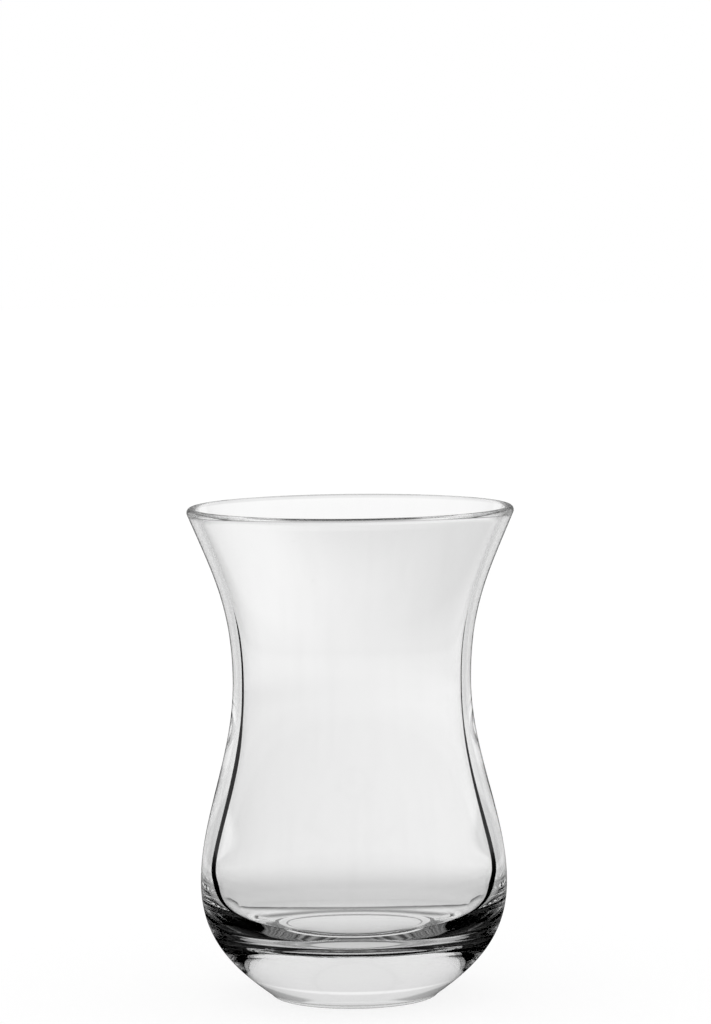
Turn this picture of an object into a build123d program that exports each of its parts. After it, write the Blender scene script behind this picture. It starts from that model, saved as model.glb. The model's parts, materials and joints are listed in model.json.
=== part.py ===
# Turkish tea glass: one piece of clear pressed glass with a flared lip, a narrow
# waist, a round belly and a thick solid base.
# Millimetres, +Z up. The origin is the middle of the foot, on the table.

import os
from math import cos, radians, sin, tan

from build123d import *

os.makedirs("parts", exist_ok=True)

# Overall sizes
height = 90.0
rim_diameter = 59.7
waist_diameter = 43.6
belly_diameter = 56.2
foot_diameter = 30.9

# Heights above the table
foot_edge_height = 0.5
belly_height = 21.0
inner_belly_height = 22.8
waist_height = 58.0

# Walls and base. The wall is thickest between the waist and the belly
wall_rim = 1.7
wall_waist = 1.75
wall_belly = 2.2
floor_thickness = 11.7

# Inside corner: the wall leans in below the belly and bends into the flat floor
corner_inset = 3.4
corner_rise = 2.25
corner_slope = 34.3
bend_width = 6.6

# Foot: a flat ring carries the glass, and the middle of the base is lifted off the table
heel_width = 0.85
foot_ring_width = 1.1
base_lift = 0.3
base_lift_slope = 40.0

# Directions of the outline
lip_lean = 22.6
flank_angle = 36.1

# How far each curve follows its end direction, as a share of the rise it covers
flank_reach = 0.43
belly_reach_down = 0.49
belly_reach_up = 0.325
waist_reach_down = 0.365
waist_reach_up = 0.43
lip_reach = 0.36
inner_waist_reach_down = 0.46
inner_belly_reach_up = 0.18
hollow_reach_down = 0.68
corner_reach_up = 0.28
bend_reach_down = 0.49
bend_reach_in = 0.8

# Radii used below
waist_radius = waist_diameter / 2
belly_radius = belly_diameter / 2
foot_radius = foot_diameter / 2
ring_outer_radius = foot_radius - heel_width
ring_inner_radius = ring_outer_radius - foot_ring_width
lift_radius = ring_inner_radius - base_lift / tan(radians(base_lift_slope))
inner_waist_radius = waist_radius - wall_waist
inner_belly_radius = belly_radius - wall_belly
corner_radius = inner_belly_radius - corner_inset
floor_flat_radius = corner_radius - bend_width

# The lip is a half round as thick as the wall. It leans outward with the wall.
lip_radius = wall_rim / 2
lip_centre_x = rim_diameter / 2 - lip_radius
lip_centre_z = height - lip_radius
up_x = sin(radians(lip_lean))
up_z = cos(radians(lip_lean))
lip_outside = (lip_centre_x + lip_radius * up_z, lip_centre_z - lip_radius * up_x)
lip_top = (lip_centre_x + lip_radius * up_x, lip_centre_z + lip_radius * up_z)
lip_inside = (lip_centre_x - lip_radius * up_z, lip_centre_z + lip_radius * up_x)

# Lengths of the curve handles
flank_rise = belly_height - foot_edge_height
body_rise = waist_height - belly_height
inner_body_rise = waist_height - inner_belly_height
flare_rise = height - waist_height
corner_height = floor_thickness + corner_rise
hollow_rise = inner_belly_height - corner_height
flank_handle = flank_rise * flank_reach
lip_handle = flare_rise * lip_reach
waist_handle = flare_rise * waist_reach_up
corner_handle = hollow_rise * corner_reach_up
bend_handle = corner_rise / cos(radians(corner_slope)) * bend_reach_down

with BuildPart() as tea_glass:
    with BuildSketch(Plane.XZ):
        with BuildLine():
            # Underside, from the axis out to the edge of the foot ring
            Line((0, base_lift), (lift_radius, base_lift))
            Line((lift_radius, base_lift), (ring_inner_radius, 0))
            Line((ring_inner_radius, 0), (ring_outer_radius, 0))
            # Heel, rolled up from the ring to the edge of the foot
            TangentArc((ring_outer_radius, 0), (foot_radius, foot_edge_height), tangent=(1, 0))
            # Outside: foot to belly, belly to waist, waist to lip
            Bezier(
                (foot_radius, foot_edge_height),
                (
                    foot_radius + flank_handle * cos(radians(flank_angle)),
                    foot_edge_height + flank_handle * sin(radians(flank_angle)),
                ),
                (belly_radius, belly_height - flank_rise * belly_reach_down),
                (belly_radius, belly_height),
            )
            Bezier(
                (belly_radius, belly_height),
                (belly_radius, belly_height + body_rise * belly_reach_up),
                (waist_radius, waist_height - body_rise * waist_reach_down),
                (waist_radius, waist_height),
            )
            Bezier(
                (waist_radius, waist_height),
                (waist_radius, waist_height + waist_handle),
                (lip_outside[0] - lip_handle * up_x, lip_outside[1] - lip_handle * up_z),
                lip_outside,
            )
            # Rounded lip
            ThreePointArc(lip_outside, lip_top, lip_inside)
            # Inside: lip to waist, waist to belly, belly to corner, then the bend to the floor
            Bezier(
                lip_inside,
                (lip_inside[0] - lip_handle * up_x, lip_inside[1] - lip_handle * up_z),
                (inner_waist_radius, waist_height + waist_handle),
                (inner_waist_radius, waist_height),
            )
            Bezier(
                (inner_waist_radius, waist_height),
                (inner_waist_radius, waist_height - inner_body_rise * inner_waist_reach_down),
                (inner_belly_radius, inner_belly_height + inner_body_rise * inner_belly_reach_up),
                (inner_belly_radius, inner_belly_height),
            )
            Bezier(
                (inner_belly_radius, inner_belly_height),
                (inner_belly_radius, inner_belly_height - hollow_rise * hollow_reach_down),
                (
                    corner_radius + corner_handle * sin(radians(corner_slope)),
                    corner_height + corner_handle * cos(radians(corner_slope)),
                ),
                (corner_radius, corner_height),
            )
            Bezier(
                (corner_radius, corner_height),
                (
                    corner_radius - bend_handle * sin(radians(corner_slope)),
                    corner_height - bend_handle * cos(radians(corner_slope)),
                ),
                (floor_flat_radius + bend_width * bend_reach_in, floor_thickness),
                (floor_flat_radius, floor_thickness),
            )
            Line((floor_flat_radius, floor_thickness), (0, floor_thickness))
            # Back down the axis
            Line((0, floor_thickness), (0, base_lift))
        make_face()
    revolve(axis=Axis.Z)

tea_glass.part.label = "tea_glass"
export_step(tea_glass.part, "parts/tea_glass.step")
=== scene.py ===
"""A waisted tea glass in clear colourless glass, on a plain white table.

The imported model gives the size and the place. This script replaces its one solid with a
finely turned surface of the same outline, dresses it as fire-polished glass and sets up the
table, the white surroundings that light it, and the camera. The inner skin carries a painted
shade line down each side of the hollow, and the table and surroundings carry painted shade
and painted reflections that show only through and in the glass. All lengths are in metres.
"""

import json
import logging
import math
from dataclasses import dataclass
from enum import Enum

import bpy
import numpy as np
from mathutils import Matrix, Vector

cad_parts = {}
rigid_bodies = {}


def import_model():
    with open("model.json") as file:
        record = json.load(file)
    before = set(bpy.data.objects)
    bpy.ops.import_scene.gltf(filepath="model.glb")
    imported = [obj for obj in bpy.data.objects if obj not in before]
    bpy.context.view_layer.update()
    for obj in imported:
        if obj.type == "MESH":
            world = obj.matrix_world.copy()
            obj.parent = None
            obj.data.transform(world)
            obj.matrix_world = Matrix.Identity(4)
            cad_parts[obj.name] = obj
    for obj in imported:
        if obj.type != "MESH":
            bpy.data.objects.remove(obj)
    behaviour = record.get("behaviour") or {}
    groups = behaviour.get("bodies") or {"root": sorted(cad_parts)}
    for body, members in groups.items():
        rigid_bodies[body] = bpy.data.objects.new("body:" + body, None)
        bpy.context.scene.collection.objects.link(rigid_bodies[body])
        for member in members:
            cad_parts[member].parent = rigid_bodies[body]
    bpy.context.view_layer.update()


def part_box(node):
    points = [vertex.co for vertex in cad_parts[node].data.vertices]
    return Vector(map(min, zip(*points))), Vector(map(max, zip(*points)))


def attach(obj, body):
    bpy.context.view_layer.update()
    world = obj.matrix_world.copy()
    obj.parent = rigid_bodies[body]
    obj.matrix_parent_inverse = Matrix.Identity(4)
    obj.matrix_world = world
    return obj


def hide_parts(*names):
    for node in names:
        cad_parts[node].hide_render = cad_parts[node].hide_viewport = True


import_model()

MM = 0.001
NODE = "tea_glass"
BODY = "root"
# Mesh attribute for the width of the hollow's painted shade line.
SHADE_LINE_WIDTH = "shade_line_width"
WHITE = (1.0, 1.0, 1.0, 1.0)
REFRACTION = 1.52
PANEL_START = math.radians(18.0)
PANEL_END = math.radians(38.0)
PANEL_SOFT = math.radians(5.0)
STREAK_STRETCH = (1.0, 1.0, 0.04)
STREAK_SCALE = 420.0
STREAK_RISE = (0.42, 0.72)
SEED_SCALE = 160.0
SEED_EDGE = (0.035, 0.015)
SEED_PATCH_SCALE = 60.0
SEED_PATCH_RISE = (0.62, 0.66)
SKIM_TURNS_RISE = (12.0, 15.0)
SKIM_TURNS_FALL = (22.0, 19.0)
GUIDED_TURNS = (30.0, 44.0)
REACH_INPUTS = (
    "Reflections",
    "Refractions",
    "Straight",
    "One Wall",
    "Outside",
    "Single Wall",
    "Skimming",
    "Far Wall",
    "Deep",
)

log = logging.getLogger("tea_glass")


class Ray(Enum):
    """What a surface or the world can ask about the ray that meets it."""

    CAMERA = "Is Camera Ray"
    REFLECTIONS = "Glossy Depth"
    REFRACTIONS = "Transmission Depth"


class Skin(Enum):
    """The two skins of the glass, in the order of their material slots."""

    OUTER = 0
    INNER = 1


# ---------------------------------------------------------------------------
# Curves
# ---------------------------------------------------------------------------


def bezier(controls: list[tuple[float, float]], count: int) -> np.ndarray:
    """Samples a cubic Bezier curve.

    A point is the sum of the four controls weighted by (1-t)^3, 3(1-t)^2 t, 3(1-t) t^2 and t^3.

    Args:
        controls: Four points, each (radius, height).
        count: How many samples, both ends included.

    Returns:
        An array of count rows, each (radius, height).
    """
    t = np.linspace(0.0, 1.0, count)[:, None]
    p = np.asarray(controls, float)
    return (1 - t) ** 3 * p[0] + 3 * (1 - t) ** 2 * t * p[1] + 3 * (1 - t) * t**2 * p[2] + t**3 * p[3]


def arc(centre: tuple[float, float], radius: float, start: float, end: float, count: int) -> np.ndarray:
    """Samples a circular arc: centre plus radius times (cos, sin) of an angle that runs evenly.

    Args:
        centre: The arc's centre, (radius, height).
        radius: The arc's own radius.
        start: First angle in radians, from the outward direction towards up.
        end: Last angle.
        count: How many samples, both ends included.

    Returns:
        An array of count rows, each (radius, height).
    """
    angle = np.linspace(start, end, count)
    return np.stack([centre[0] + radius * np.cos(angle), centre[1] + radius * np.sin(angle)], axis=1)


def straight(start: tuple[float, float], end: tuple[float, float], count: int) -> np.ndarray:
    """Samples a straight line evenly.

    Args:
        start: First point, (radius, height).
        end: Last point.
        count: How many samples, both ends included.

    Returns:
        An array of count rows, each (radius, height).
    """
    t = np.linspace(0.0, 1.0, count)[:, None]
    return (1 - t) * np.asarray(start, float) + t * np.asarray(end, float)


# ---------------------------------------------------------------------------
# The glass
# ---------------------------------------------------------------------------


@dataclass
class Outline:
    """The half section of the glass: its sizes, and the curves between them."""

    height: float
    rim_radius: float
    waist_radius: float = 21.8 * MM
    belly_radius: float = 28.1 * MM
    foot_radius: float = 15.45 * MM
    foot_edge_height: float = 0.5 * MM
    belly_height: float = 21.0 * MM
    inner_belly_height: float = 22.8 * MM
    waist_height: float = 58.0 * MM
    wall_rim: float = 1.7 * MM
    wall_waist: float = 1.75 * MM
    wall_belly: float = 2.2 * MM
    floor_thickness: float = 11.7 * MM
    corner_inset: float = 3.4 * MM
    corner_rise: float = 2.25 * MM
    corner_slope: float = math.radians(34.3)
    bend_width: float = 6.6 * MM
    heel_width: float = 0.85 * MM
    foot_ring_width: float = 1.1 * MM
    base_lift: float = 0.3 * MM
    lift_blend: float = 0.5 * MM
    lip_lean: float = math.radians(22.6)
    flank_angle: float = math.radians(36.1)
    flank_reach: float = 0.43
    belly_reach_down: float = 0.49
    belly_reach_up: float = 0.325
    waist_reach_down: float = 0.365
    waist_reach_up: float = 0.43
    lip_reach: float = 0.36
    inner_waist_reach_down: float = 0.46
    inner_belly_reach_up: float = 0.18
    hollow_reach_down: float = 0.68
    corner_reach_up: float = 0.28
    bend_reach_down: float = 0.49
    bend_reach_in: float = 0.8

    @property
    def lip_radius(self) -> float:
        """Radius of the half round that closes the lip."""
        return self.wall_rim / 2

    @property
    def lip_centre(self) -> tuple[float, float]:
        """Centre of the half round that closes the lip."""
        return (self.rim_radius - self.lip_radius, self.height - self.lip_radius)

    @property
    def up_the_lip(self) -> tuple[float, float]:
        """Direction in which the wall runs as it reaches the lip."""
        return (math.sin(self.lip_lean), math.cos(self.lip_lean))

    def underside(self) -> np.ndarray:
        """The lifted middle of the base and the flat ring that the glass stands on."""
        ring_outer = self.foot_radius - self.heel_width
        ring_inner = ring_outer - self.foot_ring_width
        lift = ring_inner - self.lift_blend
        middle = straight((0.0, self.base_lift), (lift, self.base_lift), 8)
        slope = bezier(
            [
                (lift, self.base_lift),
                (lift + 0.5 * (ring_inner - lift), self.base_lift),
                (ring_inner - 0.5 * (ring_inner - lift), 0.0),
                (ring_inner, 0.0),
            ],
            12,
        )
        return np.vstack([middle, slope, straight((ring_inner, 0.0), (ring_outer, 0.0), 4)])

    def heel(self) -> np.ndarray:
        """The small roll from the standing ring up to the edge of the foot, an arc tangent to the table."""
        start = self.foot_radius - self.heel_width
        chord = math.atan2(self.foot_edge_height, self.heel_width)
        radius = math.hypot(self.heel_width, self.foot_edge_height) / (2 * math.sin(chord))
        return arc((start, radius), radius, -math.pi / 2, -math.pi / 2 + 2 * chord, 8)

    def outside(self) -> np.ndarray:
        """The outer skin from the foot over the belly and the waist to the lip."""
        rise = self.belly_height - self.foot_edge_height
        reach = rise * self.flank_reach
        flank = bezier(
            [
                (self.foot_radius, self.foot_edge_height),
                (
                    self.foot_radius + reach * math.cos(self.flank_angle),
                    self.foot_edge_height + reach * math.sin(self.flank_angle),
                ),
                (self.belly_radius, self.belly_height - rise * self.belly_reach_down),
                (self.belly_radius, self.belly_height),
            ],
            36,
        )
        body_rise = self.waist_height - self.belly_height
        body = bezier(
            [
                (self.belly_radius, self.belly_height),
                (self.belly_radius, self.belly_height + body_rise * self.belly_reach_up),
                (self.waist_radius, self.waist_height - body_rise * self.waist_reach_down),
                (self.waist_radius, self.waist_height),
            ],
            30,
        )
        flare_rise = self.height - self.waist_height
        lip_handle = flare_rise * self.lip_reach
        end = self.lip_point(outside=True)
        up = self.up_the_lip
        flare = bezier(
            [
                (self.waist_radius, self.waist_height),
                (self.waist_radius, self.waist_height + flare_rise * self.waist_reach_up),
                (end[0] - lip_handle * up[0], end[1] - lip_handle * up[1]),
                end,
            ],
            30,
        )
        return np.vstack([flank, body, flare])

    def lip_point(self, outside: bool) -> tuple[float, float]:
        """Where a skin meets the half round of the lip.

        Args:
            outside: True for the outer skin, False for the inner.

        Returns:
            The point, (radius, height).
        """
        side = self.lip_radius if outside else -self.lip_radius
        up = self.up_the_lip
        return (self.lip_centre[0] + side * up[1], self.lip_centre[1] - side * up[0])

    def lip(self) -> np.ndarray:
        """The fire-polished half round, from the outer skin over the top to the inner."""
        return arc(self.lip_centre, self.lip_radius, -self.lip_lean, math.pi - self.lip_lean, 18)

    def inside(self) -> np.ndarray:
        """The inner skin from the lip down the wall and round the corner to the floor."""
        flare_rise = self.height - self.waist_height
        lip_handle = flare_rise * self.lip_reach
        start = self.lip_point(outside=False)
        up = self.up_the_lip
        inner_waist = self.waist_radius - self.wall_waist
        inner_belly = self.belly_radius - self.wall_belly
        flare = bezier(
            [
                start,
                (start[0] - lip_handle * up[0], start[1] - lip_handle * up[1]),
                (inner_waist, self.waist_height + flare_rise * self.waist_reach_up),
                (inner_waist, self.waist_height),
            ],
            30,
        )
        body_rise = self.waist_height - self.inner_belly_height
        body = bezier(
            [
                (inner_waist, self.waist_height),
                (inner_waist, self.waist_height - body_rise * self.inner_waist_reach_down),
                (inner_belly, self.inner_belly_height + body_rise * self.inner_belly_reach_up),
                (inner_belly, self.inner_belly_height),
            ],
            30,
        )
        corner = (inner_belly - self.corner_inset, self.floor_thickness + self.corner_rise)
        along = (math.sin(self.corner_slope), math.cos(self.corner_slope))
        hollow_rise = self.inner_belly_height - corner[1]
        hollow_reach = hollow_rise * self.corner_reach_up
        hollow = bezier(
            [
                (inner_belly, self.inner_belly_height),
                (inner_belly, self.inner_belly_height - hollow_rise * self.hollow_reach_down),
                (corner[0] + hollow_reach * along[0], corner[1] + hollow_reach * along[1]),
                corner,
            ],
            30,
        )
        flat_edge = corner[0] - self.bend_width
        bend_reach = self.corner_rise / along[1] * self.bend_reach_down
        bend = bezier(
            [
                corner,
                (corner[0] - bend_reach * along[0], corner[1] - bend_reach * along[1]),
                (flat_edge + self.bend_width * self.bend_reach_in, self.floor_thickness),
                (flat_edge, self.floor_thickness),
            ],
            40,
        )
        flat = straight((flat_edge, self.floor_thickness), (0.0, self.floor_thickness), 14)
        return np.vstack([flare, body, hollow, bend, flat])

    def section(self) -> tuple[np.ndarray, int]:
        """The whole half section, from the axis under the base to the axis on the floor inside.

        Returns:
            The points, each (radius, height), and the index at which the inner skin starts.
        """
        outer = np.vstack([self.underside(), self.heel(), self.outside(), self.lip()])
        whole = np.vstack([outer, self.inside()])
        step = np.hypot(*np.diff(whole, axis=0).T)
        keep = np.concatenate([[True], step > 0.002 * MM])
        return whole[keep], int(keep[: len(outer)].sum())


@dataclass
class GlassBody:
    """The turned body of the glass. The painted shade line's heights and widths are in millimetres."""

    outline: Outline
    sides: int = 320
    ripple_height: float = 0.005 * MM
    ripple_start: float = 13.5 * MM
    ripple_span: float = 9.5 * MM
    ripple_top: float = 17.0 * MM
    ripple_fade: float = 2.0 * MM
    wide_wave: float = 1.7 * MM
    fine_wave: float = 1.1 * MM
    # Where the hollow's painted shade line runs, and how wide it is:
    shade_line_heights: tuple[float, ...] = (15, 18, 22, 26, 46, 52, 68, 74)
    shade_line_widths: tuple[float, ...] = (0, 0.6, 1.05, 0.8, 0.6, 0.36, 0.25, 0)
    uneven_start: float = 32.0
    uneven_rise: float = 10.0
    uneven_share: float = 0.3

    def surface(self) -> tuple[np.ndarray, np.ndarray, np.ndarray]:
        """Turns the half section round the axis.

        A point at (radius, height) and angle a goes to (radius cos a, radius sin a, height). The
        first and last points of the section lie on the axis, and each closes its pole with a fan.

        Returns:
            The vertices, the faces as rows of four indices (a fan's triangle repeats its last
            index), and the skin of each face.
        """
        section, split = self.outline.section()
        ring = section[1:-1]
        rows = len(ring)
        angle = np.linspace(0.0, 2 * np.pi, self.sides, endpoint=False)
        points = np.stack(
            [
                ring[:, :1] * np.cos(angle),
                ring[:, :1] * np.sin(angle),
                np.broadcast_to(ring[:, 1:], (rows, self.sides)),
            ],
            axis=-1,
        )
        points[split - 1 :, :, 2] += self.ripple(points[split - 1 :])
        vertices = np.vstack([points.reshape(-1, 3), [[0, 0, section[0, 1]], [0, 0, section[-1, 1]]]])
        here = np.arange(self.sides)
        after = np.roll(here, -1)
        base = np.arange(rows - 1)[:, None] * self.sides
        quads = np.stack(
            [base + here, base + after, base + self.sides + after, base + self.sides + here], axis=-1
        ).reshape(-1, 4)
        bottom, top = rows * self.sides, rows * self.sides + 1
        last = (rows - 1) * self.sides
        low_fan = np.stack([np.full_like(here, bottom), after, here, here], axis=-1)
        top_fan = np.stack([np.full_like(here, top), last + here, last + after, last + after], axis=-1)
        faces = np.vstack([quads, low_fan, top_fan])
        row_skin = np.where(np.arange(rows - 1) >= split - 2, Skin.INNER.value, Skin.OUTER.value)
        skins = np.concatenate(
            [
                np.repeat(row_skin, self.sides),
                np.full(self.sides, Skin.OUTER.value),
                np.full(self.sides, Skin.INNER.value),
            ]
        )
        return vertices, faces, skins

    def ripple(self, points: np.ndarray) -> np.ndarray:
        """Height of the faint moulding waves round the corner of the hollow.

        Two sines of the radius, each with a phase that wanders round the axis, are faded in and
        out between the floor and the wall by the square of half a sine.

        Args:
            points: Points of the inner skin, their last axis (x, y, z).

        Returns:
            How far each point is raised.
        """
        radius = np.hypot(points[..., 0], points[..., 1])
        round_axis = np.arctan2(points[..., 1], points[..., 0])
        across = np.clip((radius - self.ripple_start) / self.ripple_span, 0.0, 1.0)
        low = np.clip((self.ripple_top - points[..., 2]) / self.ripple_fade, 0.0, 1.0)
        wide = np.sin(2 * np.pi * radius / self.wide_wave + 2.0 * np.sin(2 * round_axis + 0.6))
        fine = np.sin(2 * np.pi * radius / self.fine_wave + 1.3 * np.sin(5 * round_axis))
        return self.ripple_height * low * np.sin(np.pi * across) ** 2 * (wide + 0.6 * fine)

    def shade_line_width(self, vertices: np.ndarray) -> np.ndarray:
        """Width of the hollow's painted shade line, as a share of the facing value.

        The width in millimetres is read off a curve over height. A width w at radius r is w / r
        divided by the square of the refraction and by the cosine at the angle of total reflection.

        Args:
            vertices: The mesh's vertices.

        Returns:
            One number for each vertex, 0 where there is no line.
        """
        height = vertices[:, 2] / MM
        radius = np.maximum(np.hypot(vertices[:, 0], vertices[:, 1]), 10 * MM) / MM
        width = np.interp(height, self.shade_line_heights, self.shade_line_widths)
        # Up the wall the painted shade line is thinner to one side.
        upper = np.clip((height - self.uneven_start) / self.uneven_rise, 0.0, 1.0)
        uneven = 1.0 - self.uneven_share * upper * vertices[:, 0] / MM / radius
        turning_cosine = math.sqrt(1.0 - 1.0 / REFRACTION**2)
        return width * uneven / radius / (REFRACTION**2 * turning_cosine)

    def build(self, name: str) -> bpy.types.Object:
        """Makes the mesh object.

        Args:
            name: The object's name.

        Returns:
            The object, at the origin, unturned and unscaled.
        """
        vertices, faces, skins = self.surface()
        mesh = bpy.data.meshes.new(name)
        fans = faces[:, 2] == faces[:, 3]
        rows = [row[:3] if fan else row for row, fan in zip(faces.tolist(), fans)]
        mesh.from_pydata(vertices, [], rows)
        mesh.polygons.foreach_set("use_smooth", np.ones(len(faces), bool))
        mesh.polygons.foreach_set("material_index", skins)
        mesh.attributes.new(SHADE_LINE_WIDTH, "FLOAT", "POINT").data.foreach_set("value", self.shade_line_width(vertices))
        mesh.update()
        piece = bpy.data.objects.new(name, mesh)
        bpy.context.scene.collection.objects.link(piece)
        return piece


# ---------------------------------------------------------------------------
# Finishes
# ---------------------------------------------------------------------------


class Sketch:
    """A short way to add nodes to a tree and join them."""

    def __init__(self, tree: bpy.types.NodeTree) -> None:
        """Starts with an empty tree.

        Args:
            tree: The node tree to fill.
        """
        self.tree = tree
        tree.nodes.clear()

    def add(self, kind: str, inputs: dict | None = None, **settings: object) -> bpy.types.Node:
        """Adds one node.

        Args:
            kind: The node's class, such as ShaderNodeMath.
            inputs: Input name or number to a plain value, or to a socket to join.
            settings: Attributes of the node itself.

        Returns:
            The new node.
        """
        node = self.tree.nodes.new(kind)
        for key, value in settings.items():
            setattr(node, key, value)
        for key, value in (inputs or {}).items():
            if isinstance(value, bpy.types.NodeSocket):
                self.tree.links.new(value, node.inputs[key])
            else:
                node.inputs[key].default_value = value
        return node

    def math(self, operation: str, *values: object, clamp: bool = False) -> bpy.types.NodeSocket:
        """Adds a Math node.

        Args:
            operation: The node's operation, such as MULTIPLY.
            values: Its inputs in order, numbers or sockets.
            clamp: Whether the result is held between 0 and 1.

        Returns:
            The node's output.
        """
        node = self.add("ShaderNodeMath", dict(enumerate(values)), operation=operation, use_clamp=clamp)
        return node.outputs[0]

    def ramp(self, value: object, start: float, end: float) -> bpy.types.NodeSocket:
        """Maps a value smoothly so that start gives 0 and end gives 1; end may be below start.

        Args:
            value: The socket to map.
            start: The value that gives 0.
            end: The value that gives 1.

        Returns:
            The mapped value.
        """
        node = self.add(
            "ShaderNodeMapRange",
            {"Value": value, "From Min": start, "From Max": end, "To Min": 0.0, "To Max": 1.0},
            interpolation_type="SMOOTHSTEP",
        )
        return node.outputs["Result"]


def tint_group() -> bpy.types.NodeTree:
    """A shared group: the glass's own colour, with faint drawn streaks and rare tiny seeds.

    The streaks are noise stretched up the wall, which darken the glass by a hair. A seed is the
    middle of a cell of a fine Voronoi pattern, kept only where a coarser noise is high.
    """
    tree = bpy.data.node_groups.get("glass_tint")
    if tree:
        return tree
    tree = bpy.data.node_groups.new("glass_tint", "ShaderNodeTree")
    tree.interface.new_socket("Streaks", in_out="INPUT", socket_type="NodeSocketFloat")
    tree.interface.new_socket("Seeds", in_out="INPUT", socket_type="NodeSocketFloat")
    tree.interface.new_socket("Colour", in_out="OUTPUT", socket_type="NodeSocketColor")
    sketch = Sketch(tree)
    given = sketch.add("NodeGroupInput").outputs
    place = sketch.add("ShaderNodeTexCoord").outputs["Object"]
    drawn = sketch.add("ShaderNodeMapping", {"Vector": place, "Scale": STREAK_STRETCH}).outputs[0]
    noise = sketch.add("ShaderNodeTexNoise", {"Vector": drawn, "Scale": STREAK_SCALE, "Detail": 3.0}).outputs[0]
    streak = sketch.math("MULTIPLY", sketch.ramp(noise, *STREAK_RISE), given["Streaks"])
    cells = sketch.add("ShaderNodeTexVoronoi", {"Vector": place, "Scale": SEED_SCALE}).outputs["Distance"]
    rare = sketch.add("ShaderNodeTexNoise", {"Vector": place, "Scale": SEED_PATCH_SCALE, "Detail": 0.0}).outputs[0]
    seed = sketch.math("MULTIPLY", sketch.ramp(cells, *SEED_EDGE), sketch.ramp(rare, *SEED_PATCH_RISE))
    seed = sketch.math("MULTIPLY", seed, given["Seeds"])
    dimming = sketch.math("ADD", streak, seed, clamp=True)
    clear = sketch.math("SUBTRACT", 1.0, dimming)
    colour = sketch.add("ShaderNodeCombineColor", {0: clear, 1: clear, 2: clear}).outputs[0]
    sketch.add("NodeGroupOutput", {"Colour": colour})
    return tree


@dataclass(frozen=True)
class ClearGlass:
    """Clear colourless soda-lime glass.

    Where light in the wall meets the hollow at the angle of total reflection it is thrown far
    aside, which draws a dark line down each side of the hollow. The coat carries that line as
    painted shade: it is black, and its weight peaks at that angle, on the skin of the hollow as
    met from inside the glass.
    """

    name: str
    refraction: float = REFRACTION
    roughness: float = 0.0
    streaks: float = 0.013
    seeds: float = 0.25
    # Whether the skin carries the hollow's painted shade line.
    hollow_shade_line: bool = False
    shade_line_soft: float = 0.0016

    @property
    def turning_point(self) -> float:
        """Facing value, one less the cosine, at the angle of total reflection."""
        return 1.0 - math.sqrt(1.0 - 1.0 / self.refraction**2)

    def build(self) -> bpy.types.Material:
        """Makes the material."""
        material = bpy.data.materials.new(self.name)
        material.use_nodes = True
        sketch = Sketch(material.node_tree)
        tint = sketch.add("ShaderNodeGroup", node_tree=tint_group())
        tint.inputs["Streaks"].default_value = self.streaks
        tint.inputs["Seeds"].default_value = self.seeds
        shader = sketch.add(
            "ShaderNodeBsdfPrincipled",
            {
                "Base Color": tint.outputs["Colour"],
                "IOR": self.refraction,
                "Roughness": self.roughness,
                "Transmission Weight": 1.0,
            },
        )
        # Painted shade: a black coat draws the dark line down each side of the hollow.
        if self.hollow_shade_line:
            shader.inputs["Coat Tint"].default_value = (0.0, 0.0, 0.0, 1.0)
            shader.inputs["Coat IOR"].default_value = 1.0
            shader.inputs["Coat Roughness"].default_value = 0.0
            sketch.tree.links.new(self.shade_line(sketch), shader.inputs["Coat Weight"])
        sketch.add("ShaderNodeOutputMaterial", {"Surface": shader.outputs[0]})
        return material

    def shade_line(self, sketch: Sketch) -> bpy.types.NodeSocket:
        """The painted shade line's weight, from the facing angle and the line's width at that height.

        Args:
            sketch: The material's tree.

        Returns:
            The weight, 0 to 1.
        """
        facing = sketch.add("ShaderNodeLayerWeight", {"Blend": 0.5}).outputs["Facing"]
        width = sketch.add("ShaderNodeAttribute", attribute_name=SHADE_LINE_WIDTH).outputs["Fac"]
        inward = sketch.math("SUBTRACT", self.turning_point, sketch.math("MULTIPLY", width, 0.75))
        outward = sketch.math("ADD", self.turning_point, sketch.math("MULTIPLY", width, 0.25))
        rise = sketch.math("DIVIDE", sketch.math("SUBTRACT", facing, inward), self.shade_line_soft)
        fall = sketch.math("DIVIDE", sketch.math("SUBTRACT", outward, facing), self.shade_line_soft)
        band = sketch.math("MINIMUM", rise, fall, clamp=True)
        within = sketch.add("ShaderNodeNewGeometry").outputs["Backfacing"]
        present = sketch.math("GREATER_THAN", width, 0.0)
        return sketch.math("MULTIPLY", sketch.math("MULTIPLY", band, within), present, clamp=True)


# ---------------------------------------------------------------------------
# Table, surroundings and camera
# ---------------------------------------------------------------------------


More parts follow.
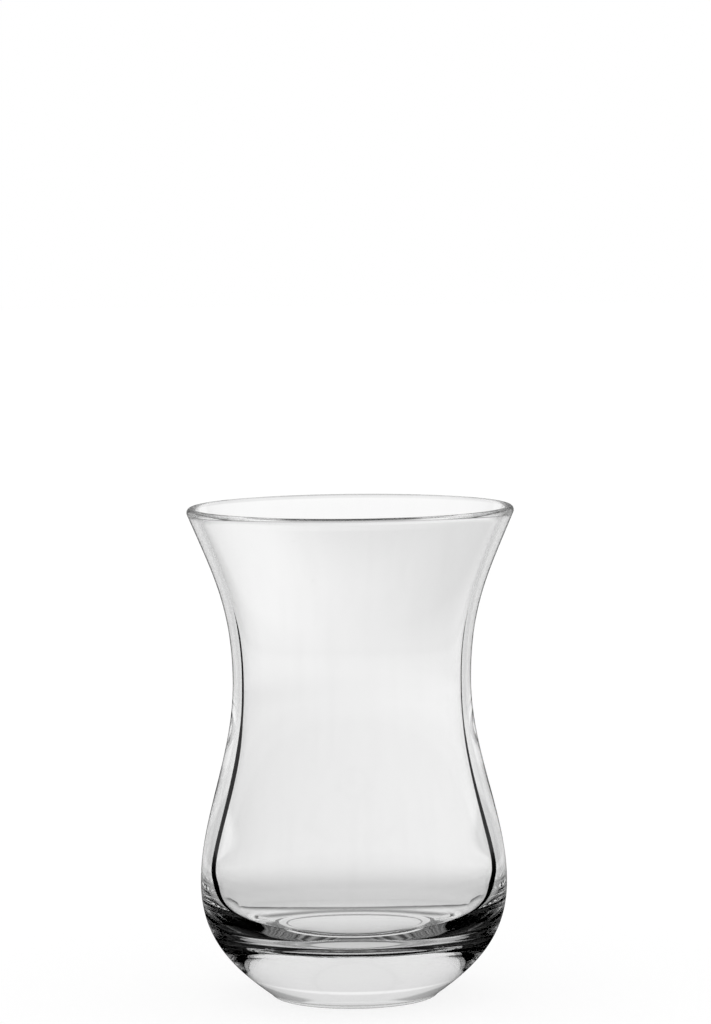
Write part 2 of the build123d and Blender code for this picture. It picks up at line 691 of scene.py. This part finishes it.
def reach_group() -> bpy.types.NodeTree:
    """A shared group: how bright the surroundings look at the end of a path through the glass.

    A path straight through sees them at full brightness, and each kind of path that was turned
    back inside the glass sees them dimmer, which is painted shade that draws the glass's dark
    edges. One turned a few times inside a single wall sees nothing, and one that skims along the
    wall in many turns sees a little.
    """
    tree = bpy.data.node_groups.get("reach")
    if tree:
        return tree
    tree = bpy.data.node_groups.new("reach", "ShaderNodeTree")
    for name in REACH_INPUTS:
        tree.interface.new_socket(name, in_out="INPUT", socket_type="NodeSocketFloat")
    tree.interface.new_socket("Level", in_out="OUTPUT", socket_type="NodeSocketFloat")
    sketch = Sketch(tree)
    given = sketch.add("NodeGroupInput").outputs
    turned = sketch.math("GREATER_THAN", given["Reflections"], 0.5)
    few = sketch.math("LESS_THAN", given["Reflections"], 2.5)
    one_wall = sketch.math("COMPARE", given["Refractions"], 2.0, 0.5)
    more_walls = sketch.math("GREATER_THAN", given["Refractions"], 2.5)
    outside = sketch.math("MULTIPLY", sketch.math("LESS_THAN", given["Refractions"], 0.5), given["Outside"])
    once = sketch.math("MULTIPLY", sketch.math("LESS_THAN", given["Reflections"], 1.5), more_walls)
    plain = sketch.math("MAXIMUM", sketch.math("MULTIPLY", few, one_wall), once)
    many = sketch.math("MULTIPLY", sketch.ramp(given["Reflections"], *SKIM_TURNS_RISE), one_wall)
    many = sketch.math("MULTIPLY", sketch.ramp(given["Reflections"], *SKIM_TURNS_FALL), many)
    skims = sketch.math("MULTIPLY", many, given["Skimming"])
    near = sketch.math("MAXIMUM", sketch.math("MULTIPLY", plain, given["Single Wall"]), skims)
    twice = sketch.math("COMPARE", given["Reflections"], 2.0, 0.5)
    deep = sketch.math("GREATER_THAN", given["Reflections"], 2.5)
    far = sketch.math(
        "ADD", sketch.math("MULTIPLY", twice, given["Far Wall"]), sketch.math("MULTIPLY", deep, given["Deep"])
    )
    far = sketch.math("MULTIPLY", more_walls, far)
    guided = sketch.ramp(given["Reflections"], *GUIDED_TURNS)
    beside = sketch.math("MAXIMUM", guided, outside)
    turned_level = sketch.math("MAXIMUM", beside, sketch.math("MAXIMUM", near, far))
    first = sketch.math("MULTIPLY", sketch.math("LESS_THAN", given["Refractions"], 2.5), given["One Wall"])
    straight_level = sketch.math("MAXIMUM", given["Straight"], first)
    level = sketch.add(
        "ShaderNodeMapRange", {"Value": turned, "To Min": straight_level, "To Max": turned_level}
    ).outputs["Result"]
    sketch.add("NodeGroupOutput", {"Level": level})
    return tree


def reflected_panels(sketch: Sketch, along: object, aside: object) -> bpy.types.NodeSocket:
    """How far a direction or place lies before the two panels of painted reflection behind the glass.

    They stand a little to each side of the line of view, and only paths turned back off the
    outer skin see them. The angle from that line is judged by its cosine, the part along it over
    the whole length.

    Args:
        sketch: The tree to add to.
        along: The part that runs along the line of view.
        aside: The part that runs to the side.

    Returns:
        1 before a panel, falling to 0 past its edges.
    """
    length = sketch.math(
        "SQRT", sketch.math("ADD", sketch.math("MULTIPLY", along, along), sketch.math("MULTIPLY", aside, aside))
    )
    cosine = sketch.math("DIVIDE", along, length)
    near_edge = sketch.ramp(cosine, math.cos(PANEL_START - PANEL_SOFT), math.cos(PANEL_START + PANEL_SOFT))
    far_edge = sketch.ramp(cosine, math.cos(PANEL_END + PANEL_SOFT), math.cos(PANEL_END - PANEL_SOFT))
    return sketch.math("MULTIPLY", near_edge, far_edge)


@dataclass
class Table:
    """The white table top: what the camera sees of it, and what is seen of it through the glass, with painted
    shade and painted reflections.

    Levels run from 0, black, to 1, white. Starts and ends are distances from the glass's axis.
    """

    half_width: float = 4.0
    drop: float = 0.02 * MM
    shade: float = 0.17
    glow: float = 0.84
    base_level: float = 0.82
    far_level: float = 0.75
    deep_level: float = 0.12
    wall_level: float = 1.0
    outside_start: float = 0.15
    outside_end: float = 1.5
    outside_level: float = 0.30
    panel_level: float = 0.75
    # Painted shade round the foot and near the glass, seen through a single wall:
    foot_shade_level: float = 0.6
    foot_shade_start: float = 0.085
    foot_shade_end: float = 0.105
    wall_start: float = 0.20
    wall_full: float = 0.28
    wall_fade: float = 0.6
    wall_end: float = 1.5
    # Painted reflection of two panels, from this distance out:
    reflection_start: float = 0.08
    reflection_end: float = 0.25
    one_wall_start: float = 0.25
    one_wall_end: float = 0.50
    skim_level: float = 0.75
    far_tone: float = 0.90
    near_slope: float = 0.9
    far_slope: float = -1.6
    slope_start: float = 0.40
    slope_end: float = 0.62
    tone_drop: float = 0.13
    tone_rise: float = 0.10
    distant_level: float = 0.84
    distant_start: float = 0.9
    distant_end: float = 1.25
    # Painted shade near and under the glass, with a painted shadow line, contact shadow and shadow arc round the
    # foot:
    dim_radius: float = 0.055
    clear_radius: float = 0.190
    dim_level: float = 0.70
    under_shade_front: float = 0.53
    under_shade_back: float = 0.79
    under_shade_start: float = -13.0 * MM
    under_shade_end: float = 10.0 * MM
    close_radius: float = 45.0 * MM
    close_full: float = 31.5 * MM
    shadow_line_place: float = 22.8 * MM
    shadow_line_reach: float = 28.0 * MM
    shadow_line_end: float = 32.2 * MM
    shadow_line_bow: float = 7.5 * MM
    shadow_line_power: float = 4.0
    shadow_line_edge: float = 0.5 * MM
    shadow_line_fade: float = 7.5 * MM
    shadow_line_depth: float = 1.0
    contact_shadow_depth: float = 0.95
    contact_shadow_inner: tuple[float, float] = (12.5 * MM, 13.5 * MM)
    contact_shadow_outer: tuple[float, float] = (18.0 * MM, 15.5 * MM)
    contact_shadow_front: tuple[float, float] = (-7.0 * MM, -11.0 * MM)
    frown_shadow_radius: float = 18.0 * MM
    frown_shadow_width: float = 3.0 * MM
    frown_shadow_depth: float = 0.9
    frown_shadow_back: tuple[float, float] = (5.0 * MM, 11.0 * MM)

    def build(self) -> bpy.types.Object:
        """Makes the table top."""
        mesh = bpy.data.meshes.new("table")
        w = self.half_width
        mesh.from_pydata([(-w, -w, 0), (w, -w, 0), (w, w, 0), (-w, w, 0)], [], [(0, 1, 2, 3)])
        mesh.materials.append(self.material())
        table = bpy.data.objects.new("table", mesh)
        table.location.z = -self.drop
        bpy.context.scene.collection.objects.link(table)
        return table

    def material(self) -> bpy.types.Material:
        """Near white to the camera, and graded by place and path to what the glass sees, with painted shade and
        painted reflections.
        """
        material = bpy.data.materials.new("table_top")
        material.use_nodes = True
        sketch = Sketch(material.node_tree)
        position = sketch.add("ShaderNodeNewGeometry").outputs["Position"]
        place = sketch.add("ShaderNodeSeparateXYZ", {0: position})
        x, y = place.outputs["X"], place.outputs["Y"]
        squares = sketch.math("ADD", sketch.math("MULTIPLY", x, x), sketch.math("MULTIPLY", y, y))
        reach = sketch.math("SQRT", squares)
        rays = sketch.add("ShaderNodeLightPath")
        gate = sketch.add("ShaderNodeGroup", node_tree=reach_group())
        sketch.tree.links.new(rays.outputs[Ray.REFLECTIONS.value], gate.inputs["Reflections"])
        sketch.tree.links.new(rays.outputs[Ray.REFRACTIONS.value], gate.inputs["Refractions"])
        # Painted shade: to paths through a single wall the table is dimmer near the glass and far off, and dimmer
        # still round the foot.
        away = sketch.ramp(reach, self.wall_start, self.wall_full)
        away = sketch.math("MULTIPLY", away, sketch.ramp(reach, self.wall_end, self.wall_fade))
        wall = sketch.math("MULTIPLY_ADD", away, self.wall_level - self.base_level, self.base_level)
        foot_shade = sketch.ramp(reach, self.foot_shade_start, self.foot_shade_end)
        foot_shade = sketch.math("MULTIPLY_ADD", foot_shade, 1.0 - self.foot_shade_level, self.foot_shade_level)
        wall = sketch.math("MULTIPLY", wall, foot_shade)
        sketch.tree.links.new(wall, gate.inputs["Single Wall"])
        # Painted shade: paths turned back more often inside the glass see the table dimmer still.
        gate.inputs["Skimming"].default_value = self.skim_level
        gate.inputs["Far Wall"].default_value = self.far_level
        gate.inputs["Deep"].default_value = self.deep_level
        # Painted shade and painted reflection: off the outer skin the table shows dark near the glass and dim
        # farther out, with two bright panels.
        dim = sketch.ramp(reach, self.outside_start, self.outside_end)
        dim = sketch.math("MULTIPLY", dim, self.outside_level)
        panel_reflection = sketch.math("MULTIPLY", reflected_panels(sketch, y, x), sketch.ramp(reach, self.reflection_start, self.reflection_end))
        outside = sketch.math("MAXIMUM", dim, sketch.math("MULTIPLY", panel_reflection, self.panel_level))
        sketch.tree.links.new(outside, gate.inputs["Outside"])
        sketch.tree.links.new(self.tone(sketch, x, y, reach), gate.inputs["Straight"])
        first = sketch.ramp(reach, self.one_wall_start, self.one_wall_end)
        sketch.tree.links.new(first, gate.inputs["One Wall"])
        through = sketch.add("ShaderNodeEmission", {"Color": WHITE, "Strength": gate.outputs["Level"]})
        glow = sketch.add("ShaderNodeEmission", {"Color": WHITE, "Strength": self.glow})
        paper = sketch.add("ShaderNodeBsdfDiffuse", {"Color": (self.shade, self.shade, self.shade, 1.0)})
        shown = sketch.add("ShaderNodeAddShader", {0: glow.outputs[0], 1: paper.outputs[0]})
        mix = sketch.add(
            "ShaderNodeMixShader",
            {0: rays.outputs[Ray.CAMERA.value], 1: through.outputs[0], 2: shown.outputs[0]},
        )
        sketch.add("ShaderNodeOutputMaterial", {"Surface": mix.outputs[0]})
        return material

    def tone(
        self,
        sketch: Sketch,
        x: bpy.types.NodeSocket,
        y: bpy.types.NodeSocket,
        reach: bpy.types.NodeSocket,
    ) -> bpy.types.NodeSocket:
        """How light the table is to a ray that comes straight through the glass.

        All of it is painted shade. Far away it is lighter on one side than on the other, and it is
        dimmer near the glass and under it. A thin painted shadow line lies behind the foot, with a
        painted shadow arc nearer the foot, and a painted contact shadow lies where the foot's near
        edge stands.

        Args:
            sketch: The material's tree.
            x: Place to the right of the axis.
            y: Place behind the axis.
            reach: Distance from the axis.

        Returns:
            The tone, 0 to 1.
        """
        # Painted shade: far away the table is lighter to one side and dimmer farther off.
        slope = sketch.add(
            "ShaderNodeMapRange",
            {
                "Value": y,
                "From Min": self.slope_start,
                "From Max": self.slope_end,
                "To Min": self.near_slope,
                "To Max": self.far_slope,
            },
        ).outputs["Result"]
        tilted = sketch.math("MULTIPLY_ADD", x, slope, self.far_tone)
        held = sketch.math("MAXIMUM", tilted, self.far_tone - self.tone_drop)
        far = sketch.math("MINIMUM", held, self.far_tone + self.tone_rise)
        distant = sketch.ramp(reach, self.distant_start, self.distant_end)
        faded = sketch.math("MULTIPLY_ADD", distant, self.distant_level - 1.0, 1.0)
        far = sketch.math("MULTIPLY", far, faded)
        # Painted shade: the table is dimmer near the glass.
        clear = sketch.ramp(reach, self.dim_radius, self.clear_radius)
        dimmed = sketch.math("MULTIPLY_ADD", clear, 1.0 - self.dim_level, self.dim_level)
        beyond = sketch.math("MULTIPLY", far, dimmed)
        # Painted shade under the glass, darker at the front.
        under_shade = sketch.add(
            "ShaderNodeMapRange",
            {
                "Value": y,
                "From Min": self.under_shade_start,
                "From Max": self.under_shade_end,
                "To Min": self.under_shade_front,
                "To Max": self.under_shade_back,
            },
        ).outputs["Result"]
        # Painted shadow line behind the foot, set further back towards the sides.
        aside = sketch.math("MINIMUM", sketch.math("ABSOLUTE", x), self.shadow_line_reach)
        bow = sketch.math("POWER", sketch.math("DIVIDE", aside, self.shadow_line_reach), self.shadow_line_power)
        before = sketch.math("SUBTRACT", sketch.math("MULTIPLY_ADD", bow, self.shadow_line_bow, self.shadow_line_place), y)
        edge = sketch.ramp(before, -self.shadow_line_edge, self.shadow_line_edge)
        fade = sketch.ramp(before, self.shadow_line_fade, 0.0)
        within = sketch.ramp(sketch.math("ABSOLUTE", x), self.shadow_line_end, self.shadow_line_reach)
        shadow_line = sketch.math("MULTIPLY", sketch.math("MULTIPLY", edge, fade), within)
        # Painted contact shadow round the foot's near edge.
        contact_shadow = sketch.ramp(reach, *self.contact_shadow_inner)
        contact_shadow = sketch.math("MULTIPLY", contact_shadow, sketch.ramp(reach, *self.contact_shadow_outer))
        contact_shadow = sketch.math("MULTIPLY", contact_shadow, sketch.ramp(y, *self.contact_shadow_front))
        close = sketch.ramp(reach, self.close_radius, self.close_full)
        plain = sketch.add(
            "ShaderNodeMapRange",
            {"Value": sketch.math("MULTIPLY", edge, close), "To Min": beyond, "To Max": under_shade},
        ).outputs["Result"]
        lined = sketch.math("MULTIPLY", plain, sketch.math("MULTIPLY_ADD", shadow_line, -self.shadow_line_depth, 1.0))
        # Painted shadow arc behind the foot.
        off_ring = sketch.math("ABSOLUTE", sketch.math("SUBTRACT", reach, self.frown_shadow_radius))
        frown_shadow = sketch.ramp(off_ring, self.frown_shadow_width, 0.0)
        frown_shadow = sketch.math("MULTIPLY", frown_shadow, sketch.ramp(y, *self.frown_shadow_back))
        lined = sketch.math("MULTIPLY", lined, sketch.math("MULTIPLY_ADD", frown_shadow, -self.frown_shadow_depth, 1.0))
        return sketch.math("MULTIPLY", lined, sketch.math("MULTIPLY_ADD", contact_shadow, -self.contact_shadow_depth, 1.0))


@dataclass
class Surroundings:
    """A white room, dimmer to light that has turned back inside the glass, as painted shade that draws its edges.

    Levels run from 0, black, to 1, white.
    """

    rise_start: float = math.radians(1.0)
    rise_end: float = math.radians(6.0)
    base_level: float = 0.82
    far_level: float = 1.0
    outside_level: float = 0.30
    panel_level: float = 0.75
    skim_level: float = 0.75
    horizon_tone: float = 0.84
    horizon_slope: float = -0.10
    horizon_start: float = math.radians(3.0)
    horizon_end: float = math.radians(16.0)
    band_scale: float = 14.0
    band_start: float = 0.35
    band_end: float = 0.65
    band_low: float = 0.04
    band_high: float = 0.30
    # Painted shade overhead, seen through the glass:
    overhead_shade_start: float = math.radians(24.0)
    overhead_shade_end: float = math.radians(44.0)
    overhead_shade_level: float = 0.6

    def build(self) -> bpy.types.World:
        """Makes the world: white to the camera, and graded by path to the glass with painted shade and painted
        reflections.
        """
        world = bpy.data.worlds.new("surroundings")
        bpy.context.scene.world = world
        world.use_nodes = True
        sketch = Sketch(world.node_tree)
        way = sketch.add(
            "ShaderNodeSeparateXYZ", {0: sketch.add("ShaderNodeTexCoord").outputs["Generated"]}
        )
        tilt = sketch.math("ARCSINE", way.outputs["Z"])
        # Painted shade: paths turned back twice in the far wall see the room dark below the horizon.
        rising = sketch.ramp(tilt, self.rise_start, self.rise_end)
        # Painted shade: paths turned back more often see dark bands of random depth by height.
        bands = sketch.add(
            "ShaderNodeTexNoise",
            {"W": tilt, "Scale": self.band_scale, "Detail": 2.0},
            noise_dimensions="1D",
        ).outputs[0]
        banded = sketch.add(
            "ShaderNodeMapRange",
            {
                "Value": bands,
                "From Min": self.band_start,
                "From Max": self.band_end,
                "To Min": self.band_low,
                "To Max": self.band_high,
            },
        ).outputs["Result"]
        rays = sketch.add("ShaderNodeLightPath")
        gate = sketch.add("ShaderNodeGroup", node_tree=reach_group())
        sketch.tree.links.new(rays.outputs[Ray.REFLECTIONS.value], gate.inputs["Reflections"])
        sketch.tree.links.new(rays.outputs[Ray.REFRACTIONS.value], gate.inputs["Refractions"])
        through = sketch.math("GREATER_THAN", rays.outputs[Ray.REFRACTIONS.value], 0.5)
        # Painted shade: through the glass the room is dimmer overhead.
        overhead_shade = sketch.math("MULTIPLY", sketch.ramp(tilt, self.overhead_shade_start, self.overhead_shade_end), through)
        open_room = sketch.math("MULTIPLY_ADD", overhead_shade, self.overhead_shade_level - 1.0, 1.0)
        # Painted shade: to straight paths the room is dimmer near the horizon and lighter to one side.
        tilted = sketch.math(
            "MULTIPLY_ADD", way.outputs["X"], self.horizon_slope, self.horizon_tone, clamp=True
        )
        above = sketch.ramp(tilt, self.horizon_start, self.horizon_end)
        seen = sketch.add(
            "ShaderNodeMapRange", {"Value": above, "To Min": tilted, "To Max": 1.0}
        ).outputs["Result"]
        sketch.tree.links.new(sketch.math("MULTIPLY", open_room, seen), gate.inputs["Straight"])
        sketch.tree.links.new(open_room, gate.inputs["One Wall"])
        # Painted shade: paths turned inside a single wall see the room dimmer.
        walls = sketch.math("MULTIPLY", open_room, self.base_level)
        sketch.tree.links.new(banded, gate.inputs["Deep"])
        sketch.tree.links.new(walls, gate.inputs["Single Wall"])
        # Painted reflection: off the outer skin the room shows dim, with two bright panels.
        panel_reflection = sketch.math("MULTIPLY", reflected_panels(sketch, way.outputs["Y"], way.outputs["X"]), self.panel_level)
        sketch.tree.links.new(sketch.math("MAXIMUM", panel_reflection, self.outside_level), gate.inputs["Outside"])
        gate.inputs["Skimming"].default_value = self.skim_level
        sketch.tree.links.new(sketch.math("MULTIPLY", rising, self.far_level), gate.inputs["Far Wall"])
        room = sketch.add("ShaderNodeBackground", {"Color": WHITE, "Strength": gate.outputs["Level"]})
        shown = sketch.add("ShaderNodeBackground", {"Color": WHITE, "Strength": 1.0})
        mix = sketch.add(
            "ShaderNodeMixShader", {0: rays.outputs[Ray.CAMERA.value], 1: room.outputs[0], 2: shown.outputs[0]}
        )
        sketch.add("ShaderNodeOutputWorld", {"Surface": mix.outputs[0]})
        return world


@dataclass
class ViewCamera:
    """A long lens, a little above the rim's height, looking slightly down."""

    distance: float = 0.7806
    height: float = 0.15105
    pitch: float = 0.07948
    yaw: float = 0.001263
    roll: float = -0.010427
    lens: float = 150.9
    sensor: float = 36.0

    def build(self) -> bpy.types.Object:
        """Makes the camera and gives it to the scene."""
        data = bpy.data.cameras.new("camera")
        data.lens = self.lens
        data.sensor_width = self.sensor
        data.clip_start = 0.01
        camera = bpy.data.objects.new("camera", data)
        camera.location = Vector((0.0, -self.distance, self.height))
        turn = (
            Matrix.Rotation(-self.yaw, 4, "Z")
            @ Matrix.Rotation(math.pi / 2 - self.pitch, 4, "X")
            @ Matrix.Rotation(self.roll, 4, "Z")
        )
        camera.rotation_euler = turn.to_euler()
        bpy.context.scene.collection.objects.link(camera)
        bpy.context.scene.camera = camera
        return camera


def light_paths() -> None:
    """Gives light enough bounces to cross the walls and the base of the glass."""
    cycles = bpy.context.scene.cycles
    cycles.max_bounces = 96
    cycles.transmission_bounces = 96
    cycles.glossy_bounces = 96
    bpy.context.scene.view_settings.view_transform = "Standard"


def main() -> None:
    """Builds the glass, then the table, the surroundings and the camera, and reports each."""
    logging.basicConfig(level=logging.INFO, format="%(name)s: %(message)s")
    low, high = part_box(NODE)
    outline = Outline(height=high.z - low.z, rim_radius=(high.x - low.x) / 2)
    glass = GlassBody(outline).build("glass_body")
    glass.data.materials.append(ClearGlass("outer_skin").build())
    # The inner skin carries the hollow's painted shade line.
    glass.data.materials.append(ClearGlass("inner_skin", hollow_shade_line=True).build())
    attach(glass, BODY)
    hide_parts(NODE)
    log.info("glass body: %d faces", len(glass.data.polygons))
    Table().build()
    log.info("table")
    Surroundings().build()
    log.info("surroundings")
    camera = ViewCamera().build()
    log.info("camera: lens %.1f mm", camera.data.lens)
    light_paths()


if __name__ == "__main__":
    main()
